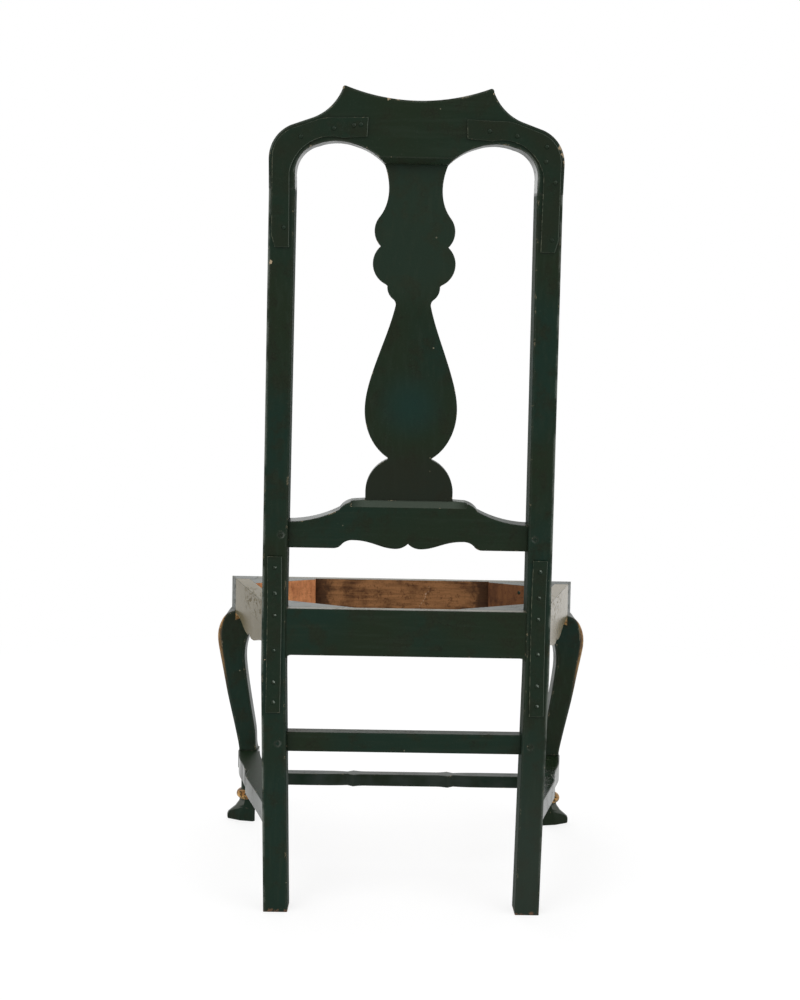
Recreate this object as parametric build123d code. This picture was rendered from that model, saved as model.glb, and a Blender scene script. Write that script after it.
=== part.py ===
from build123d import *
import os
from math import asin, atan, cos, hypot, radians, sin, sqrt, tan

# A painted side chair of the early eighteenth-century type: raked one-piece stiles, a yoke
# crest with horned ends, a vase-shaped splat standing in a shaped cross rail, an open seat
# frame, cabriole front legs standing on flat shaped stretchers, and iron straps nailed over
# the joints. +X is the sitter's left, -Y the front, +Z up. While the pieces are made, Y = 0
# is the back of the stiles at the seat and Z = 0 the floor.

# ------------------------------------------------------------------ driving dimensions (mm)
seat_height = 400.0          # floor to the top of the open seat frame
seat_depth = 396.0           # back of the stiles to the front of the front rail
front_half_width = 284.0     # seat frame, outside, at the front
fit = 0.2                    # clearance all round a tenon in its mortise
edge_round = 1.6             # worn roundness of the long edges

# Stiles
stile_width = 32.0
stile_depth_seat = 39.0
stile_depth_top = 34.0
stile_depth_foot = 34.0
stile_foot_half = 182.6      # outer faces from the middle plane, at the floor
stile_seat_half = 192.0      # the same at the seat
stile_top_half = 181.0       # the same at the crest
kick_back = 19.6             # how far the rear feet stand behind the seat
kick_height = 320.0
kick_radius = 500.0
rake = 10.1                  # lean of the back, degrees
bend_above_seat = 18.0
bend_radius = 200.0

# The back, measured up its slope from the bend of the stiles
cross_rail_low = 63.0        # underside of the cross rail's ends
cross_rail_end = 35.8        # height of the cross rail at the stiles
shoe_height = 64.5           # underside of its ends to the top of its raised middle
shoe_half = 73.0
shoe_bevel = 8.0
cross_rail_thickness = 22.0
cross_rail_setback = 9.0     # behind faces: stiles to cross rail
splat_height = 425.5         # shoe to crest, in the clear
splat_foot = 57.5            # half widths of the splat: foot, belly, neck and lobes
splat_belly = 59.8
splat_neck = 22.3
splat_lobe = 52.2
splat_top = 39.5
splat_thickness = 9.0
splat_setback = 17.5
splat_groove = 10.0
crest_ear_drop = 33.0        # how far the crest's ears come down below its middle
crest_rise = 73.0            # underside to the dip of its top, in the middle
horn_rise = 15.3             # dip to the tips of the horns
horn_half = 87.0
crest_bevel = 7.0

# Seat frame
rear_rail_height = 62.0
rear_rail_thickness = 19.0
rear_rail_setback = 2.0
rear_rail_flare = 5.0        # small sweep down where it meets the stiles
apron_height = 55.0          # side and front rails, at their ends
side_rail_thickness = 22.0
front_rail_thickness = 24.0
side_rail_inset = 2.0        # outer face of the side rail in from the stile's
lobe_drop = 14.0             # middle of the shaped lower edge, below the ends
lobe_notch = 5.0
lobe_spread = 27.0
post_width = 44.0            # square top of the front leg
post_depth = 44.0
knee_block = 30.0            # shaped block under the rail, beside the knee
knee_block_height = 13.0
block_height = 46.0          # glued corner blocks inside the frame
rear_block_run = 92.0        # along the rear rail, from the stile
rear_block_reach = 57.0      # along the side rail
front_block_run = 141.0      # along the front rail, from the frame's corner
front_block_end = 12.0
front_block_reach = 70.0

# Stretchers and feet
stretcher_top = 118.0
stretcher_thickness = 27.0
side_stretcher_width = 30.0
medial_depth = 226.0         # back of the seat to the middle of the medial stretcher
medial_half = 9.5
medial_cusp = 72.0           # from the middle to each cusp
medial_thickness = 17.5
medial_shoulder = 4.0
rear_stretcher_low = 208.0
rear_stretcher_height = 26.0
rear_stretcher_thickness = 22.0
rear_stretcher_setback = 5.0
ankle_width = 29.0           # foot of the cabriole leg, square
ankle_inset = 21.5           # outer face of the ankle in from the front post's
neck_radius = 12.0           # turned neck of the foot
ring_radius = 7.4            # half-round ring on the neck
ring_height = 44.5
foot_neck = 12.3             # half width of the foot under its ring
foot_reach = 36.0            # from the middle of the neck to the tip of each toe
dowel_radius = 8.0
dowel_socket = 30.0

# Iron and small hardware
strap_thickness = 2.6
corner_strap_margin = 4.3    # strap edge in from the edge of the wood
corner_strap_low = 450.0     # up the slope of the back
corner_strap_end = 60.0      # from the middle plane
corner_strap_width = 22.5
leg_strap_width = 19.0
leg_strap_inset = 7.5        # outer edge in from the stile's outer face
leg_strap_drop = 138.0       # its ends, below and above the top of the seat frame
leg_strap_rise = 70.0
nail_radius = 1.4
nail_head_radius = 2.9
nail_head_rise = 1.3
nail_length = 15.0
nail_seat = 0.03             # hairline under the nail heads
block_nail_length = 62.0
peg_radius = 3.0
peg_proud = 0.3
peg_sunk = 0.1               # pegs under the straps
small_fit = 0.1              # round nails and pegs in their holes

# Tenons
tenon_thickness = 10.0
tenon_shoulder = 6.0
rail_tenon = 22.0
side_rear_tenon = 19.0
front_tenon = 24.0
stretcher_tenon = 16.0
stretcher_shoulder = 5.0
crest_tenon = 30.0
crest_tenon_thickness = 12.0

# ------------------------------------------------------------------ places worked out
slope = radians(rake)
kick = atan(kick_back / kick_height)
bend_height = seat_height + bend_above_seat
shoe_top = cross_rail_low + shoe_height
crest_low = shoe_top + splat_height
stile_top = crest_low - crest_ear_drop
crest_dip = crest_low + crest_rise
stile_inner = stile_seat_half - stile_width
leg_strap_low = seat_height - leg_strap_drop
leg_strap_high = seat_height + leg_strap_rise
post_rear = seat_depth - post_depth
post_inner = front_half_width - post_width
rear_rail_bottom = seat_height - rear_rail_height
apron_bottom = seat_height - apron_height
stretcher_low = stretcher_top - stretcher_thickness
stretcher_mid = stretcher_top - stretcher_thickness / 2
ankle_outer = front_half_width - ankle_inset
ankle_inner = ankle_outer - ankle_width
ankle_x = ankle_outer - ankle_width / 2
ankle_y = ankle_width / 2 + ankle_inset - seat_depth

# The plane of the stiles' back faces above the bend; its Z points to the front.
back = Plane(
    origin=(0, 0, bend_height),
    x_dir=(1, 0, 0),
    z_dir=(0, -cos(slope), sin(slope)),
)

# The outer face of the left side rail: X along the rail to the front, Z into the chair.
side_spread = front_half_width - stile_seat_half + side_rail_inset
side_run = hypot(side_spread, seat_depth - stile_depth_seat)
side_x = side_spread / side_run
side_y = -(seat_depth - stile_depth_seat) / side_run
side_plane = Plane(
    origin=(stile_seat_half - side_rail_inset, -stile_depth_seat, 0),
    x_dir=(side_x, side_y, 0),
    z_dir=(side_y, -side_x, 0),
)
side_length = (post_rear - stile_depth_seat) / -side_y
post_outer_rear = side_plane.from_local_coords((side_length, 0, 0)).X
everywhere = (-2 * seat_height, 2 * seat_height)


def board(outline, plane, start, thickness):
    """A board sawn to a closed outline on a plane, from start to start + thickness above it."""
    flat = extrude(make_face(outline), amount=thickness, dir=(0, 0, 1))
    return plane * Pos(0, 0, start) * flat


def both_halves(outline):
    """An outline drawn for one half, with its mirror image."""
    return outline + [mirror(edge, about=Plane.YZ) for edge in outline]


def polygon(points):
    """The closed outline through a few points."""
    return [Line(a, b) for a, b in zip(points, points[1:] + points[:1])]


def span_box(x, y, z):
    """A box from its lowest to its highest x, y and z."""
    size = [high - low for low, high in (x, y, z)]
    middle = [(low + high) / 2 for low, high in (x, y, z)]
    return Pos(*middle) * Box(*size)


def grown(low, high, clearance):
    """A range made wider by a clearance at both ends."""
    return (low - clearance, high + clearance)


def rod(start, direction, radius, length):
    """A round rod from a point along a direction."""
    where = Plane(origin=start, z_dir=direction)
    return where * Cylinder(radius, length, align=(Align.CENTER, Align.CENTER, Align.MIN))


def other_side(solid):
    """The matching piece on the sitter's right."""
    return mirror(solid, about=Plane.YZ)


def boxes_meet(one, two):
    """Whether the bounding boxes of two solids overlap."""
    a, b = one.bounding_box(), two.bounding_box()
    spans = zip(tuple(a.min), tuple(a.max), tuple(b.min), tuple(b.max))
    return all(low_a < high_b and low_b < high_a for low_a, high_a, low_b, high_b in spans)


# ------------------------------------------------------------------ stiles
def stile_outer(height):
    """Outer face of the left stile below the seat, at a height above the floor."""
    share = min(1.0, height / kick_height)
    return stile_foot_half + (stile_seat_half - stile_foot_half) * share


def stile_rear(height, offset=0.0):
    """Y of the stile's back face, moved back by an offset, and the way into the wood there."""
    upper = bend_height - bend_radius * tan(slope / 2)
    lower = kick_height + kick_radius * tan(kick / 2)
    if height > upper:
        angle = asin(min(sin(slope), (height - upper) / (bend_radius - offset)))
        y = bend_radius - (bend_radius - offset) * cos(angle)
        if angle == slope or angle >= 0.999 * slope:
            y = (offset + (height - bend_height) * sin(slope)) / cos(slope)
        return y, (0, -cos(angle), sin(angle))
    if height < lower:
        angle = asin(min(sin(kick), (lower - height) / (kick_radius - offset)))
        y = kick_radius - (kick_radius - offset) * cos(angle)
        if angle >= 0.999 * kick:
            y = (offset - (height - kick_height) * sin(kick)) / cos(kick)
        return y, (0, -cos(angle), -sin(angle))
    return offset, (0, -1, 0)


def rear_line(offset):
    """The line of the stile's back face seen from the side, moved back by an offset."""
    points = [
        (kick_back + offset / cos(kick), 0),
        (offset, kick_height + offset * tan(kick / 2)),
        (offset, bend_height - offset * tan(slope / 2)),
        (
            stile_top * sin(slope) + offset * cos(slope),
            bend_height + stile_top * cos(slope) - offset * sin(slope),
        ),
    ]
    return FilletPolyline(*points, radius=(kick_radius - offset, bend_radius - offset))


def make_stile():
    """The left stile: sawn to its raked side shape, then tapered and leaned in from the front."""
    rear = rear_line(0)
    top_y = stile_top * sin(slope)
    top_z = bend_height + stile_top * cos(slope)
    front_points = [
        (kick_back - stile_depth_foot, 0),
        (-stile_depth_seat, kick_height),
        (-stile_depth_seat, bend_height + stile_depth_seat * tan(slope / 2)),
        (top_y - stile_depth_top * cos(slope), top_z + stile_depth_top * sin(slope)),
    ]
    front = FilletPolyline(*front_points, radius=(kick_radius, bend_radius))
    side = [
        *rear.edges(),
        *front.edges(),
        Line((kick_back, 0), front_points[0]),
        Line((top_y, top_z), front_points[3]),
    ]
    over = top_z + 2 * stile_depth_top
    lean = (stile_seat_half - stile_top_half) / (stile_top * cos(slope))
    outer_points = [
        (stile_foot_half, 0),
        (stile_seat_half, kick_height),
        (stile_seat_half, bend_height),
        (stile_seat_half - lean * (over - bend_height), over),
    ]
    inner_points = [(x - stile_width, z) for x, z in outer_points]
    outline = [
        *FilletPolyline(*outer_points, radius=kick_radius).edges(),
        *FilletPolyline(*inner_points, radius=kick_radius).edges(),
        Line(outer_points[0], inner_points[0]),
        Line(outer_points[3], inner_points[3]),
    ]
    blank = board(side, Plane.YZ, 0, 2 * stile_seat_half)
    blank &= board(outline, Plane.XZ, -seat_depth, 2 * seat_depth)
    long_edges = [e for e in blank.edges() if e.bounding_box().size.Z > stile_width]
    return fillet(long_edges, edge_round)


# ------------------------------------------------------------------ crest rail
def make_crest():
    """The yoke crest: horned top, rounded shoulders and an arch each side of the splat."""
    inner = stile_top_half - stile_width
    base = crest_low
    horn = crest_dip + horn_rise
    shoulder = (stile_top_half - 31, base + 43.2)
    swan = (stile_top_half - 54, base + 51.1)
    crown = (splat_top + 34.5, base + 20.4)
    spring = (stile_top_half - 60, base + 20.4)
    middle_x = (crown[0] + spring[0]) / 2
    radius = (horn_half**2 + horn_rise**2) / (2 * horn_rise)
    half = horn_half / 2
    half_dip = crest_dip + radius - sqrt(radius**2 - half**2)
    under = [
        Line((0, base), (splat_top, base)),
        ThreePointArc((splat_top, base), (splat_top + 13.5, base + 11), crown),
        ThreePointArc(crown, (middle_x, base + 24.5), spring),
        ThreePointArc(spring, (inner - 7.5, base + 7.5), (inner, base - 17)),
        Line((inner, base - 17), (inner, stile_top)),
    ]
    over = [
        Line((inner, stile_top), (stile_top_half, stile_top)),
        Line((stile_top_half, stile_top), (stile_top_half, base + 2.5)),
        ThreePointArc((stile_top_half, base + 2.5), (stile_top_half - 8.6, base + 27.5), shoulder),
        Line(shoulder, swan),
        ThreePointArc(swan, (horn_half + 16.5, base + 66.6), (horn_half + 4.6, horn - 3.6)),
        ThreePointArc((horn_half + 4.6, horn - 3.6), (horn_half + 3.4, horn - 0.4), (horn_half, horn)),
        ThreePointArc((horn_half, horn), (half, half_dip), (0, crest_dip)),
    ]
    crest = board(both_halves(under + over), back, 0, stile_depth_top)
    lower_rear = []
    for edge in crest.edges():
        middle = back.to_local_coords(edge @ 0.5)
        if middle.Z < 0.01 and abs(middle.Y - base) < 0.01:
            lower_rear.append(edge)
    return chamfer(lower_rear, crest_bevel)


# ------------------------------------------------------------------ cross rail and splat
def make_cross_rail():
    """The cross rail: swept shoulders up to a raised shoe, and a double-lobed lower edge."""
    low = cross_rail_low
    end = stile_seat_half - stile_width / 2
    high = low + cross_rail_end
    bevel_from = shoe_top - shoe_bevel
    under = [
        ThreePointArc((0, low + 7.4), (7, low + 2.4), (16, low + 0.3)),
        Spline([(16, low + 0.3), (43, low + 6), (72, low + 11.3)], tangents=[(1, 0), (1, 0)]),
        ThreePointArc((72, low + 11.3), (81, low + 9.9), (87, low + 6)),
        ThreePointArc((87, low + 6), (91.5, low + 1.8), (98, low)),
        Line((98, low), (end, low)),
    ]
    over = [
        Line((end, low), (end, high)),
        ThreePointArc((end, high), (shoe_half + 46, high + 5), (shoe_half + 18, high + 16.5)),
        ThreePointArc(
            (shoe_half + 18, high + 16.5), (shoe_half + 9.5, high + 24.5), (shoe_half, shoe_top - 1)
        ),
        Line((shoe_half, shoe_top - 1), (shoe_half - 15, shoe_top)),
        Line((shoe_half - 15, shoe_top), (0, shoe_top)),
    ]
    rail = board(both_halves(under + over), back, cross_rail_setback, cross_rail_thickness)
    depth = splat_setback - cross_rail_setback - 0.5
    steep = shoe_bevel / depth
    section = polygon([
        (cross_rail_setback - 1, bevel_from - steep),
        (cross_rail_setback - 1, shoe_top + steep),
        (cross_rail_setback + depth + 1, shoe_top + steep),
    ])
    # The bevel's section lies on a plane across the rail: depth along X, slope along Y.
    across = Plane(origin=back.origin, x_dir=back.z_dir, z_dir=(-1, 0, 0))
    return rail - board(section, across, -shoe_half - 3, 2 * shoe_half + 6)


def make_splat():
    """The vase splat, let into the shoe below and the crest above."""
    low = shoe_top + 4.5
    top = crest_low
    lower = [
        Line((0, shoe_top - splat_groove), (splat_foot, shoe_top - splat_groove)),
        Line((splat_foot, shoe_top - splat_groove), (splat_foot, low + 4)),
        ThreePointArc((splat_foot, low + 4), (50, low + 32), (30, low + 49.5)),
        ThreePointArc((30, low + 49.5), (28.6, low + 51), (29.8, low + 52.6)),
        Spline([
            (29.8, low + 52.6), (51.3, low + 77.5), (splat_belly, low + 111),
            (52.8, low + 155.5), (35.4, low + 206), (splat_neck, top - 172),
        ]),
    ]
    upper = [
        Spline([(splat_neck, top - 172), (22.6, top - 169.5), (25.2, top - 165.2)]),
        ThreePointArc((25.2, top - 165.2), (31.4, top - 158.2), (33.4, top - 148.2)),
        Line((33.4, top - 148.2), (35.6, top - 146.4)),
        ThreePointArc((35.6, top - 146.4), (splat_lobe, top - 120), (42.7, top - 99.5)),
        ThreePointArc((42.7, top - 99.5), (50.4, top - 84), (45.6, top - 65)),
        Spline([(45.6, top - 65), (34.6, top - 42), (34.2, top - 19), (splat_top, top)]),
        Line((splat_top, top), (splat_top, top + splat_groove)),
        Line((splat_top, top + splat_groove), (0, top + splat_groove)),
    ]
    return board(both_halves(lower + upper), back, splat_setback, splat_thickness)


def splat_groove_cut(half_width, low, high):
    """Room for one end of the splat."""
    x = grown(-half_width, half_width, fit)
    z = grown(splat_setback, splat_setback + splat_thickness, fit)
    return back * span_box(x, (low, high), z)


# ------------------------------------------------------------------ seat rails
def apron_edge(centre, half_length):
    """The shaped lower edge of a front or side rail: two lobes between two flat arches."""
    lobe = apron_bottom - lobe_drop
    lobe_x = centre + lobe_spread
    rise = (half_length + lobe_spread) / 2
    notch = (centre, lobe + lobe_notch)
    side = [
        ThreePointArc(notch, (centre + 0.4 * lobe_spread, lobe + 1), (lobe_x, lobe)),
        Spline(
            [
                (lobe_x, lobe),
                (centre + rise, (lobe + apron_bottom) / 2 + 2),
                (centre + half_length, apron_bottom),
            ],
            tangents=[(1, 0), (1, 0)],
        ),
    ]
    return side + [mirror(edge, about=Plane.YZ.offset(centre)) for edge in side]


def make_rear_rail():
    """The straight rear rail, its lower corners swept down where it meets the stiles."""
    half = stile_seat_half - stile_width / 2
    bottom = rear_rail_bottom
    flare = rear_rail_flare
    start = (stile_inner - 1.6 * flare, bottom)
    meet = (stile_inner, bottom - flare)
    outline = [
        Line((0, bottom), start),
        ThreePointArc(start, (stile_inner - 0.55 * flare, bottom - 0.35 * flare), meet),
        Line(meet, (half, bottom - flare)),
        Line((half, bottom - flare), (half, seat_height)),
        Line((half, seat_height), (0, seat_height)),
    ]
    return board(both_halves(outline), Plane.XZ, rear_rail_setback, rear_rail_thickness)


def make_side_rail():
    """The left side rail: lower edge shaped between straight ends, ends cut to the skew."""
    over = stile_width
    end = 12.0
    outline = apron_edge(side_length / 2, side_length / 2 - end)
    outline += [
        Line((end, apron_bottom), (-over, apron_bottom)),
        Line((-over, apron_bottom), (-over, seat_height)),
        Line((-over, seat_height), (side_length + over, seat_height)),
        Line((side_length + over, seat_height), (side_length + over, apron_bottom)),
        Line((side_length + over, apron_bottom), (side_length - end, apron_bottom)),
    ]
    rail = board(outline, side_plane, 0, side_rail_thickness)
    return rail & span_box(everywhere, (-post_rear, -stile_depth_seat), everywhere)


def side_rail_tenons(clearance):
    """Both tenons of the left side rail, which run on in the line of the rail."""
    middle = side_rail_thickness / 2
    depth = grown(middle - tenon_thickness / 2, middle + tenon_thickness / 2, clearance)
    height = grown(apron_bottom + tenon_shoulder, seat_height - tenon_shoulder, clearance)
    bar = side_plane * span_box((-2 * stile_width, side_length + 2 * post_depth), height, depth)
    rear_y = (-stile_depth_seat - 1, side_rear_tenon - stile_depth_seat + clearance)
    front_y = (-post_rear - front_tenon - clearance, -post_rear + 1)
    return [bar & span_box(everywhere, y, everywhere) for y in (rear_y, front_y)]


def make_front_rail():
    """The front rail between the two posts, with the same shaped lower edge."""
    end = post_inner - 40
    outline = apron_edge(0, end) + [
        Line((-post_inner, seat_height), (post_inner, seat_height)),
    ]
    for side in (-1, 1):
        outline.append(Line((side * end, apron_bottom), (side * post_inner, apron_bottom)))
        outline.append(Line((side * post_inner, apron_bottom), (side * post_inner, seat_height)))
    return board(outline, Plane.XZ, seat_depth - front_rail_thickness, front_rail_thickness)


def front_rail_tenon(clearance):
    """The left-hand tenon of the front rail."""
    setback = (front_rail_thickness - tenon_thickness) / 2
    x = (post_inner - 1, post_inner + rail_tenon - 2 + clearance)
    y = grown(setback - seat_depth, setback + tenon_thickness - seat_depth, clearance)
    z = grown(apron_bottom + tenon_shoulder, seat_height - tenon_shoulder, clearance)
    return span_box(x, y, z)


def knee_block_outline(end):
    """The block glued under a rail against the knee, seen square to the rail."""
    top = apron_bottom
    tip = (end - knee_block, top)
    step = (end - 0.5 * knee_block, top - 0.38 * knee_block_height)
    foot = (end, top - knee_block_height)
    return [
        ThreePointArc(tip, (end - 0.72 * knee_block, top - 0.33 * knee_block_height), step),
        ThreePointArc(step, (end - 0.2 * knee_block, top - 0.6 * knee_block_height), foot),
        Line(foot, (end + 12, top - knee_block_height)),
        Line((end + 12, top - knee_block_height), (end + 12, top)),
        Line((end + 12, top), tip),
    ]


# ------------------------------------------------------------------ corner blocks
def rail_inside(along):
    """A point on the inner face of the left side rail, from the stile end along it."""
    point = side_plane.from_local_coords((along, 0, side_rail_thickness))
    return (point.X, point.Y)


rear_block_faces = [
    (stile_inner - rear_block_run, -rear_rail_setback - rear_rail_thickness),
    rail_inside(rear_block_reach),
]
front_block_faces = [
    (front_half_width - front_block_run, front_rail_thickness + front_block_end - seat_depth),
    rail_inside(side_length - front_block_reach),
]


def make_rear_block():
    """A glued block across the left rear corner of the seat frame."""
    near, far = rear_block_faces
    points = [
        near,
        (stile_seat_half - side_rail_inset, near[1]),
        (stile_seat_half - side_rail_inset, -stile_depth_seat),
        (far[0] + side_rail_thickness / 2, far[1]),
        far,
    ]
    return board(polygon(points), Plane.XY, seat_height - block_height, block_height)


def make_front_block():
    """A glued block in the left front corner, cut off square before it slants."""
    near, far = front_block_faces
    rail_face = front_rail_thickness - seat_depth
    points = [
        (near[0], rail_face),
        (post_inner + 5, rail_face),
        (post_outer_rear - side_rail_thickness / 2, -post_rear),
        (far[0] + side_rail_thickness / 2, far[1]),
        far,
        near,
    ]
    return board(polygon(points), Plane.XY, seat_height - block_height, block_height)


# ------------------------------------------------------------------ front legs and feet
def leg_section(height, inner, outer, rear_outer, corner):
    """One section of the cabriole leg: a square with its corners taken off."""
    front = front_half_width - outer - seat_depth
    rear = front + outer - inner
    points = [
        (inner + corner / 2, rear),
        (rear_outer - corner, rear),
        (rear_outer, rear - corner),
        (outer, front + corner),
        (outer - corner, front),
        (inner + corner, front),
        (inner, front + corner),
        (inner, rear - corner / 2),
    ]
    return Pos(0, 0, height) * make_face(polygon(points))


def make_front_leg():
    """The left front leg: post in the seat frame, knee, and a square shank to the ankle."""
    footprint = polygon([
        (post_inner, -seat_depth),
        (front_half_width, -seat_depth),
        (post_outer_rear, -post_rear),
        (post_inner, -post_rear),
    ])
    knee_top = apron_bottom + 3
    post = board(footprint, Plane.XY, knee_top, seat_height - knee_top)
    # Share of the way down from the rail to the stretcher, as on a leg template; inner and
    # outer faces from the post's outer face; corner.
    stages = [
        (0.066, -43.0, 11.5, 4.5),
        (0.145, -35.5, 18.0, 6.5),
        (0.211, -29.2, 19.4, 7.0),
        (0.308, -25.2, 16.5, 6.5),
        (0.441, -27.8, 9.8, 5.5),
        (0.595, -34.0, 1.6, 4.0),
        (0.771, -42.3, -9.4, 3.0),
        (0.903, -47.3, -17.2, 2.6),
    ]
    base = front_half_width
    drop = apron_bottom - stretcher_top
    sections = [leg_section(knee_top, post_inner, base, post_outer_rear, 1.0)]
    sections += [
        leg_section(apron_bottom - share * drop, base + inner, base + outer, base + outer, corner)
        for share, inner, outer, corner in stages
    ]
    sections.append(leg_section(stretcher_top, ankle_inner, ankle_outer, ankle_outer, 2.2))
    return post + loft(sections)


def foot_section(height, spread):
    """A section of the foot: round at the neck, and at full spread a square with two toes."""
    reach = foot_neck + (foot_reach - foot_neck) * spread
    shift = (reach - foot_neck) / 3
    half = [
        (-foot_neck + 0.3 * spread, -foot_neck + 5 - 1.5 * spread),
        (-foot_neck + 5 - 1.5 * spread, -foot_neck + 0.3 * spread),
        (4 + 9 * spread, -foot_neck + 4.5 * spread),
        (reach - 1.2, shift - 4),
        (reach, shift + 2),
    ]
    middle = 0.72 * reach
    points = half + [(middle, middle)] + [(along, out) for out, along in reversed(half[2:])]
    points = [(ankle_x + out, ankle_y - along) for out, along in points]
    return Pos(0, 0, height) * make_face(polygon(points))


def make_foot():
    """The left front foot: dowel through the stretcher, turned neck with a ring, carved toes."""
    # Share of the ring's height, and how far the toes have spread there; blunt at the tip.
    stages = [
        (0.88, 0.05), (0.70, 0.14), (0.50, 0.40), (0.31, 0.80),
        (0.24, 0.94), (0.15, 1), (0.05, 1), (0, 0.96),
    ]
    sections = [foot_section(ring_height * rise, spread) for rise, spread in stages]
    toe = loft(sections, ruled=True)
    neck_low = ring_height / 2
    ring_low = ring_height - ring_radius
    ring_high = ring_height + ring_radius
    ring_outer = neck_radius + ring_radius
    dowel_high = stretcher_top + dowel_socket
    profile = [
        Line((0, neck_low), (neck_radius, neck_low)),
        Line((neck_radius, neck_low), (neck_radius, ring_low)),
        ThreePointArc((neck_radius, ring_low), (ring_outer, ring_height), (neck_radius, ring_high)),
        Line((neck_radius, ring_high), (neck_radius, stretcher_low)),
        Line((neck_radius, stretcher_low), (dowel_radius, stretcher_low)),
        Line((dowel_radius, stretcher_low), (dowel_radius, dowel_high)),
        Line((dowel_radius, dowel_high), (0, dowel_high)),
        Line((0, dowel_high), (0, neck_low)),
    ]
    turned = revolve(Plane.XZ * make_face(profile), axis=Axis.Z)
    return toe + Pos(ankle_x, ankle_y, 0) * turned


# ------------------------------------------------------------------ stretchers
stile_front_mid = (kick_back - stile_depth_foot) + (
    (stile_depth_foot - kick_back - stile_depth_seat) * stretcher_mid / kick_height
)
stretcher_start = -stile_front_mid - 10
stretcher_outer = stile_outer(stretcher_mid) - 3
stretcher_inner = stretcher_outer - side_stretcher_width + 4


def stretcher_line(depth):
    """X of the straight line from the stile to the front foot, at a depth from the back."""
    share = (depth - stretcher_start) / (-ankle_y - stretcher_start)
    return stretcher_outer + (ankle_x - stretcher_outer) * share


medial_end = stretcher_line(medial_depth) - side_stretcher_width + 9.5


def make_side_stretcher():
    """The left side stretcher: a flat serpentine board that carries the front leg."""
    cusp = medial_depth + 5
    pad = ankle_width / 2 + 1.2
    toward = -ankle_y

    def bowed(*steps):
        return [(stretcher_line(depth) + bow, depth) for depth, bow in steps]

    rear_run = bowed((stretcher_start, 0), (cusp - 135, 3.5), (cusp - 75, 11), (cusp - 28, 16.3))
    front_run = bowed((cusp, 10), (cusp + 20, 15.5), (cusp + 46, 18), (toward - pad - 2, 17.6))
    inner_front = bowed((toward - pad, -pad - 1), (cusp + 30, -20.5))
    inner_front.append((medial_end, cusp + 14))
    inner_rear = [(medial_end, cusp - 20), *bowed((cusp - 59, -18.5), (cusp - 119, -24.5))]
    inner_rear.append((stretcher_inner, stretcher_start))
    pad_corners = [
        (ankle_x + pad, toward - pad),
        (ankle_x + pad, toward + pad),
        (ankle_x - pad, toward + pad),
        (ankle_x - pad, toward - pad),
    ]
    outline = [
        Spline(rear_run),
        Line(rear_run[-1], front_run[0]),
        Spline(front_run, tangents=[(0.9, 0.45), (0.1, 1)]),
        Line(front_run[-1], pad_corners[0]),
        Line(pad_corners[0], pad_corners[1]),
        Line(pad_corners[1], pad_corners[2]),
        Line(pad_corners[2], pad_corners[3]),
        Line(pad_corners[3], inner_front[0]),
        Spline(inner_front),
        Line(inner_front[-1], inner_rear[0]),
        Spline(inner_rear),
        Line(inner_rear[-1], rear_run[0]),
    ]
    flat = extrude(make_face(outline), amount=stretcher_thickness, dir=(0, 0, 1))
    return Pos(0, 0, stretcher_low) * mirror(flat, about=Plane.XZ)


def side_stretcher_tenon(clearance):
    """The tenon of the left side stretcher in the stile."""
    x = grown(stretcher_inner + 6, stretcher_outer - 6, clearance)
    y = (stile_front_mid - 2, stile_front_mid + stretcher_tenon + clearance)
    z = (stretcher_low + stretcher_shoulder, stretcher_top - stretcher_shoulder)
    return span_box(x, y, grown(*z, clearance))


def make_medial():
    """The medial stretcher: flat, waisted down to two cusps."""
    half = medial_half
    cusp = medial_cusp
    outline = [
        Line((0, half - 1), (cusp - 22, half - 1)),
        ThreePointArc((cusp - 22, half - 1), (cusp - 9, half), (cusp, half + 3.5)),
        Line((cusp, half + 3.5), (cusp + 9, half - 3)),
        Spline(
            [(cusp + 9, half - 3), (cusp + 48, half), (medial_end, half)],
            tangents=[(1, 0.2), (1, 0)],
        ),
    ]
    outline += [mirror(edge, about=Plane.XZ) for edge in outline]
    outline.append(Line((medial_end, half), (medial_end, -half)))
    flat = extrude(make_face(both_halves(outline)), amount=medial_thickness, dir=(0, 0, 1))
    return Pos(0, -medial_depth, stretcher_top - medial_thickness) * flat


def medial_tenon(clearance):
    """The left tenon of the medial stretcher."""
    half = medial_half - 2
    x = (medial_end - 1, medial_end + stretcher_tenon + clearance)
    y = grown(-medial_depth - half, -medial_depth + half, clearance)
    z = (stretcher_top - medial_thickness + medial_shoulder, stretcher_top - medial_shoulder)
    return span_box(x, y, grown(*z, clearance))


def make_rear_stretcher():
    """The plain rear stretcher between the stiles."""
    half = stile_seat_half - stile_width / 2
    y = (-rear_stretcher_setback - rear_stretcher_thickness, -rear_stretcher_setback)
    z = (rear_stretcher_low, rear_stretcher_low + rear_stretcher_height)
    bar = span_box((-half, half), y, z)
    long_edges = [e for e in bar.edges() if e.length > half]
    return fillet(long_edges, edge_round)


# ------------------------------------------------------------------ tenons of the back
def rear_tenon(low, high, setback, thickness, clearance):
    """The left tenon of the rear rail or the rear stretcher, in the stile."""
    face = stile_outer((low + high) / 2) - stile_width
    depth = setback + (thickness - tenon_thickness) / 2
    x = (face - 2, face + rail_tenon + clearance)
    y = grown(-depth - tenon_thickness, -depth, clearance)
    z = grown(low + tenon_shoulder, high - tenon_shoulder, clearance)
    return span_box(x, y, z)


def rear_rail_tenon(clearance):
    """The left tenon of the rear seat rail."""
    return rear_tenon(
        rear_rail_bottom, seat_height, rear_rail_setback, rear_rail_thickness, clearance
    )


def rear_stretcher_tenon(clearance):
    """The left tenon of the rear stretcher."""
    high = rear_stretcher_low + rear_stretcher_height
    setback = rear_stretcher_setback
    return rear_tenon(rear_stretcher_low, high, setback, rear_stretcher_thickness, clearance)


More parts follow.
